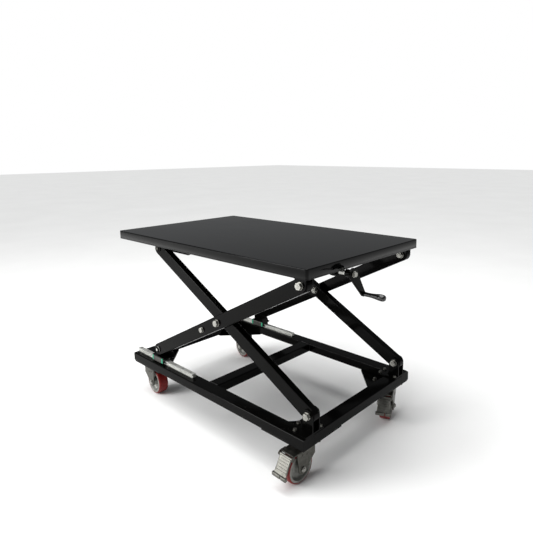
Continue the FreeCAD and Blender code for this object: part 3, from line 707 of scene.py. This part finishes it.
def axleShape():
    # bolt through the fork, head in front and a lock nut behind
    reach = caster["outer"] + 0.6
    bolt = joined((hexHead(19, 5.4), Matrix()), (washer(12.5, 1.2, 6), Matrix()),
                  (lathe([(0, -70), (6, -70), (6, 1), (0, 1)], 24), Matrix()))
    collar = lathe([(6.2, 3.5), (7.6, 3.5), (7.6, 5.8), (6.8, 6.4), (6.2, 6.4), (6.2, 3.5)], 28)
    lock = joined((hexHead(19, 4.6), Matrix()), (collar, Matrix()), (threadEnd(6, 8.2), Matrix()))
    return joined((bolt, at(0, -reach, 0) @ turn("X", 90)), (lock, at(0, reach, 0) @ turn("X", -90)))


def pedalShape():
    # pressed pedal: hinge rod, ribbed slope that flares to the foot, two treads
    halfTop, halfFoot = brake["halfTop"], brake["halfFoot"]
    top = Vector((brake["hinge"][0] + 1.0, 0, brake["hinge"][1] + 2.5))
    foot = Vector((brake["foot"][0] + 1.5, 0, brake["foot"][1] + 1.0))
    length, drop = (foot - top).length, math.degrees(math.atan2(foot.z - top.z, foot.x - top.x))
    flare = length * 0.45
    sheet = slab([(0, -halfTop), (flare, -halfTop - 0.6), (length, -halfFoot + 0.6), (length, halfFoot - 0.6),
                  (flare, halfTop + 0.6), (0, halfTop)], 3.6)
    soften(sheet, 1.2, 3, angle=40)
    lie = at(top.x, 0, top.z) @ turn("Y", -drop)
    parts = [(sheet, lie @ at(0, 0, -2.0))]
    for step in range(brake["ribs"]):
        across = length * (0.16 + 0.15 * step)
        wide = halfTop - 5 + step * 1.0
        rib = soften(block((across, -wide, 0), (across + 3.4, wide, 2.6)), 1.1, 3, angle=60)
        parts.append((rib, lie @ at(0, 0, 0.6)))
    for side in (-1, 1):
        flange = block((4, side * halfTop - 1.4, -5), (length - 8, side * halfTop + 1.4, 2.0))
        parts.append((soften(flange, 0.9, 2, angle=60), lie))
    x, z = brake["hinge"]
    rod = lathe([(0, -30.6), (4.4, -30.6), (5, -30), (5, 30), (4.4, 30.6), (0, 30.6)], 28)
    parts.append((rod, at(x, 0, z) @ turn("X", 90)))
    for y0, y1 in ((-35, 6), (8, 35)):
        tread = block((brake["foot"][0] - 2.3, y0 + 0.2, 54.2), (brake["foot"][0] + 9.3, y1 - 0.2, 68))
        parts.append((soften(tread, 2.6, 4, angle=60), Matrix()))
    return joined(*parts)


for corner in ("front_left", "front_right", "rear_left", "rear_right"):
    pin, spin = spots["swivel_" + corner], axes["wheel_spin_" + corner]
    heading = math.degrees(math.atan2(-spin.x, spin.y))
    stand = at(pin.x, pin.y, 0) @ turn("Z", heading)
    hub = stand @ at(caster["trail"], 0, caster["wheel"])
    braked = "brake_" + corner in spots
    # swivel plates and forks take the zinc darkened as painted shade
    makePiece(joined((plateShape(), at(pin.x, pin.y, 0))), "swivel_plate_" + corner, "zincDarkenedAsShade", "base",
              ["caster_plate_" + corner])
    makePiece(joined((forkShape(braked), stand)), "wheel_fork_" + corner, "zincDarkenedAsShade", "swivel_" + corner,
              ["caster_fork_" + corner])
    makePiece(joined((axleShape(), hub)), "axle_bolt_" + corner, "brightNickel", "swivel_" + corner,
              ["caster_axle_" + corner])
    makePiece(joined((coreShape(), hub @ turn("X", 90))), "iron_centre_" + corner, "castIron",
              "wheel_" + corner, ["caster_core_" + corner])
    makePiece(joined((treadShape(), hub @ turn("X", 90))), "red_tread_" + corner, "redPolyurethane",
              "wheel_" + corner, ["caster_tyre_" + corner], smooth=50)
    if braked:
        makePiece(joined((pedalShape(), stand)), "foot_brake_" + corner, "zincPlate", "pedal_" + corner,
                  ["brake_pedal_" + corner])
    print("caster", corner, "heading", round(heading, 1))

# caster bolts from below; the inner one of each corner shows its nut on the corner plate
casterBolt = {"dx": 46.0, "dy": 36.0, "across": 16.0, "radius": 5.0, "head": 6.6, "nut": 8.0, "washer": 1.6}
plateLow, under = caster["plateTop"] - caster["plate"][2], sideLow.z
bolts = []
for corner in ("front_left", "front_right", "rear_left", "rear_right"):
    pin, radius = spots["swivel_" + corner], casterBolt["radius"]
    inX = 1 if "left" in corner else -1
    inY = 1 if "front" in corner else -1
    for sx in (-1, 1):
        for sy in (-1, 1):
            x, y = pin.x + sx * casterBolt["dx"], pin.y + sy * casterBolt["dy"]
            head = hexHead(casterBolt["across"], casterBolt["head"])
            bolts.append((head, at(x, y, plateLow) @ turn("X", 180)))
            bolts.append((lathe([(0, 0), (radius, 0), (radius, 11.8), (0, 11.8)], 20), at(x, y, plateLow)))
            if sx == inX and sy == inY:
                nut = hexHead(casterBolt["across"], casterBolt["nut"])
                ring = washer(10, casterBolt["washer"], radius)
                stack = joined((ring, Matrix()), (nut, at(0, 0, casterBolt["washer"])),
                               (threadEnd(radius, 13), Matrix()))
                bolts.append((stack, at(x, y, under)))
makePiece(joined(*bolts), "caster_screws", "zincPlate", "base", ["caster_bolts"])

# bracket screws on the base
bracketScrew = {"across": 13.0, "height": 5.3, "radius": 4.0, "disc": 8.0, "washer": 1.6, "plate": 6.0,
                "spots": ((10.0, 56.0), (32.0, 13.0), (10.0, 92.0), (84.0, 92.0))}
low, high = mmBox("lower_bracket_front")
screws = []
for x, y in bracketScrew["spots"]:
    head = hexHead(bracketScrew["across"], bracketScrew["height"])
    ring = washer(bracketScrew["disc"], bracketScrew["washer"], bracketScrew["radius"])
    screws.append((joined((ring, Matrix()), (head, at(0, 0, bracketScrew["washer"]))),
                   at(low.x + x, low.y + y, low.z + bracketScrew["plate"])))
makePiece(bothSides(joined(*screws)), "bracket_screws", "zincPlate", "base")
print("casters made")

# pale floor, soft studio light
floorMesh = bmesh.new()
bmesh.ops.create_grid(floorMesh, x_segments=1, y_segments=1, size=30000)
bmesh.ops.scale(floorMesh, vec=(0.001, 0.001, 0.001), verts=floorMesh.verts)
floorData = bpy.data.meshes.new("studio_floor")
floorMesh.to_mesh(floorData)
floorMesh.free()
floor = bpy.data.objects.new("studio_floor", floorData)
bpy.context.scene.collection.objects.link(floor)
# matt white paper sweep with a faint fibre
paperLook = {"shader": {"Specular IOR Level": 0.1}, "tones": ("#f0f0ef", "#f5f5f4"), "patchMm": 900,
             "grainMm": 6, "rough": (0.8, 0.95), "bump": 0.02, "bumpMm": 0.1}
floorData.materials.append(surfaceFinish("paperSweep", paperLook))

world = bpy.data.worlds.new("studio")
bpy.context.scene.world = world
world.use_nodes = True
sky = world.node_tree
sky.nodes.clear()
seen = addNode(sky, "ShaderNodeLightPath").outputs["Is Camera Ray"]
white = addNode(sky, "ShaderNodeBackground", values={"Color": hexColour("#ffffff"), "Strength": 1.0})
fill = addNode(sky, "ShaderNodeBackground", values={"Color": hexColour("#e2e4e6"), "Strength": 0.3})
lit = addNode(sky, "ShaderNodeMixShader", links={0: seen, 1: fill.outputs[0], 2: white.outputs[0]})
addNode(sky, "ShaderNodeOutputWorld", links={"Surface": lit.outputs[0]})

studioLights = {
    "overhead": {"place": (0.0, 0.3, 3.6), "aim": (0.0, 0.0, 0.4), "size": 2.6, "power": 70},
    "leftKey": {"place": (-2.3, -3.5, 1.5), "aim": (0.0, 0.0, 0.4), "size": 1.6, "power": 110},
}
for name, look in studioLights.items():
    lamp = bpy.data.lights.new(name, "AREA")
    lamp.energy, lamp.size = look["power"], look["size"]
    holder = bpy.data.objects.new(name, lamp)
    holder.location = look["place"]
    holder.rotation_euler = (Vector(look["aim"]) - Vector(look["place"])).to_track_quat("-Z", "Y").to_euler()
    bpy.context.scene.collection.objects.link(holder)
# wide soft sun, which keeps the paper evenly pale out to the horizon
sun = bpy.data.lights.new("evenSun", "SUN")
sun.energy, sun.angle = 2.4, math.radians(60)
holder = bpy.data.objects.new("evenSun", sun)
holder.rotation_euler = (math.radians(28), math.radians(-18), 0)
bpy.context.scene.collection.objects.link(holder)

# the view is placed from the base's front left lower corner
view = {"fromBase": (2.173284, -1.124351, 1.031508), "yaw": 41.636, "pitch": -9.799, "roll": -0.353,
        "lens": 32.41, "shift": (-0.0767, -0.0599)}
camera = bpy.data.objects.new("camera", bpy.data.cameras.new("camera"))
camera.data.lens, camera.data.sensor_width = view["lens"], 36.0
camera.data.shift_x, camera.data.shift_y = view["shift"]
spot = mmBox("base_side_front")[0] / 1000 + Vector(view["fromBase"])
gaze = turn("Z", view["yaw"]) @ turn("X", 90 + view["pitch"]) @ turn("Z", view["roll"])
camera.matrix_world = at(*spot) @ gaze
bpy.context.scene.collection.objects.link(camera)
bpy.context.scene.camera = camera
bpy.context.scene.view_settings.view_transform = "Standard"
print("stage set")
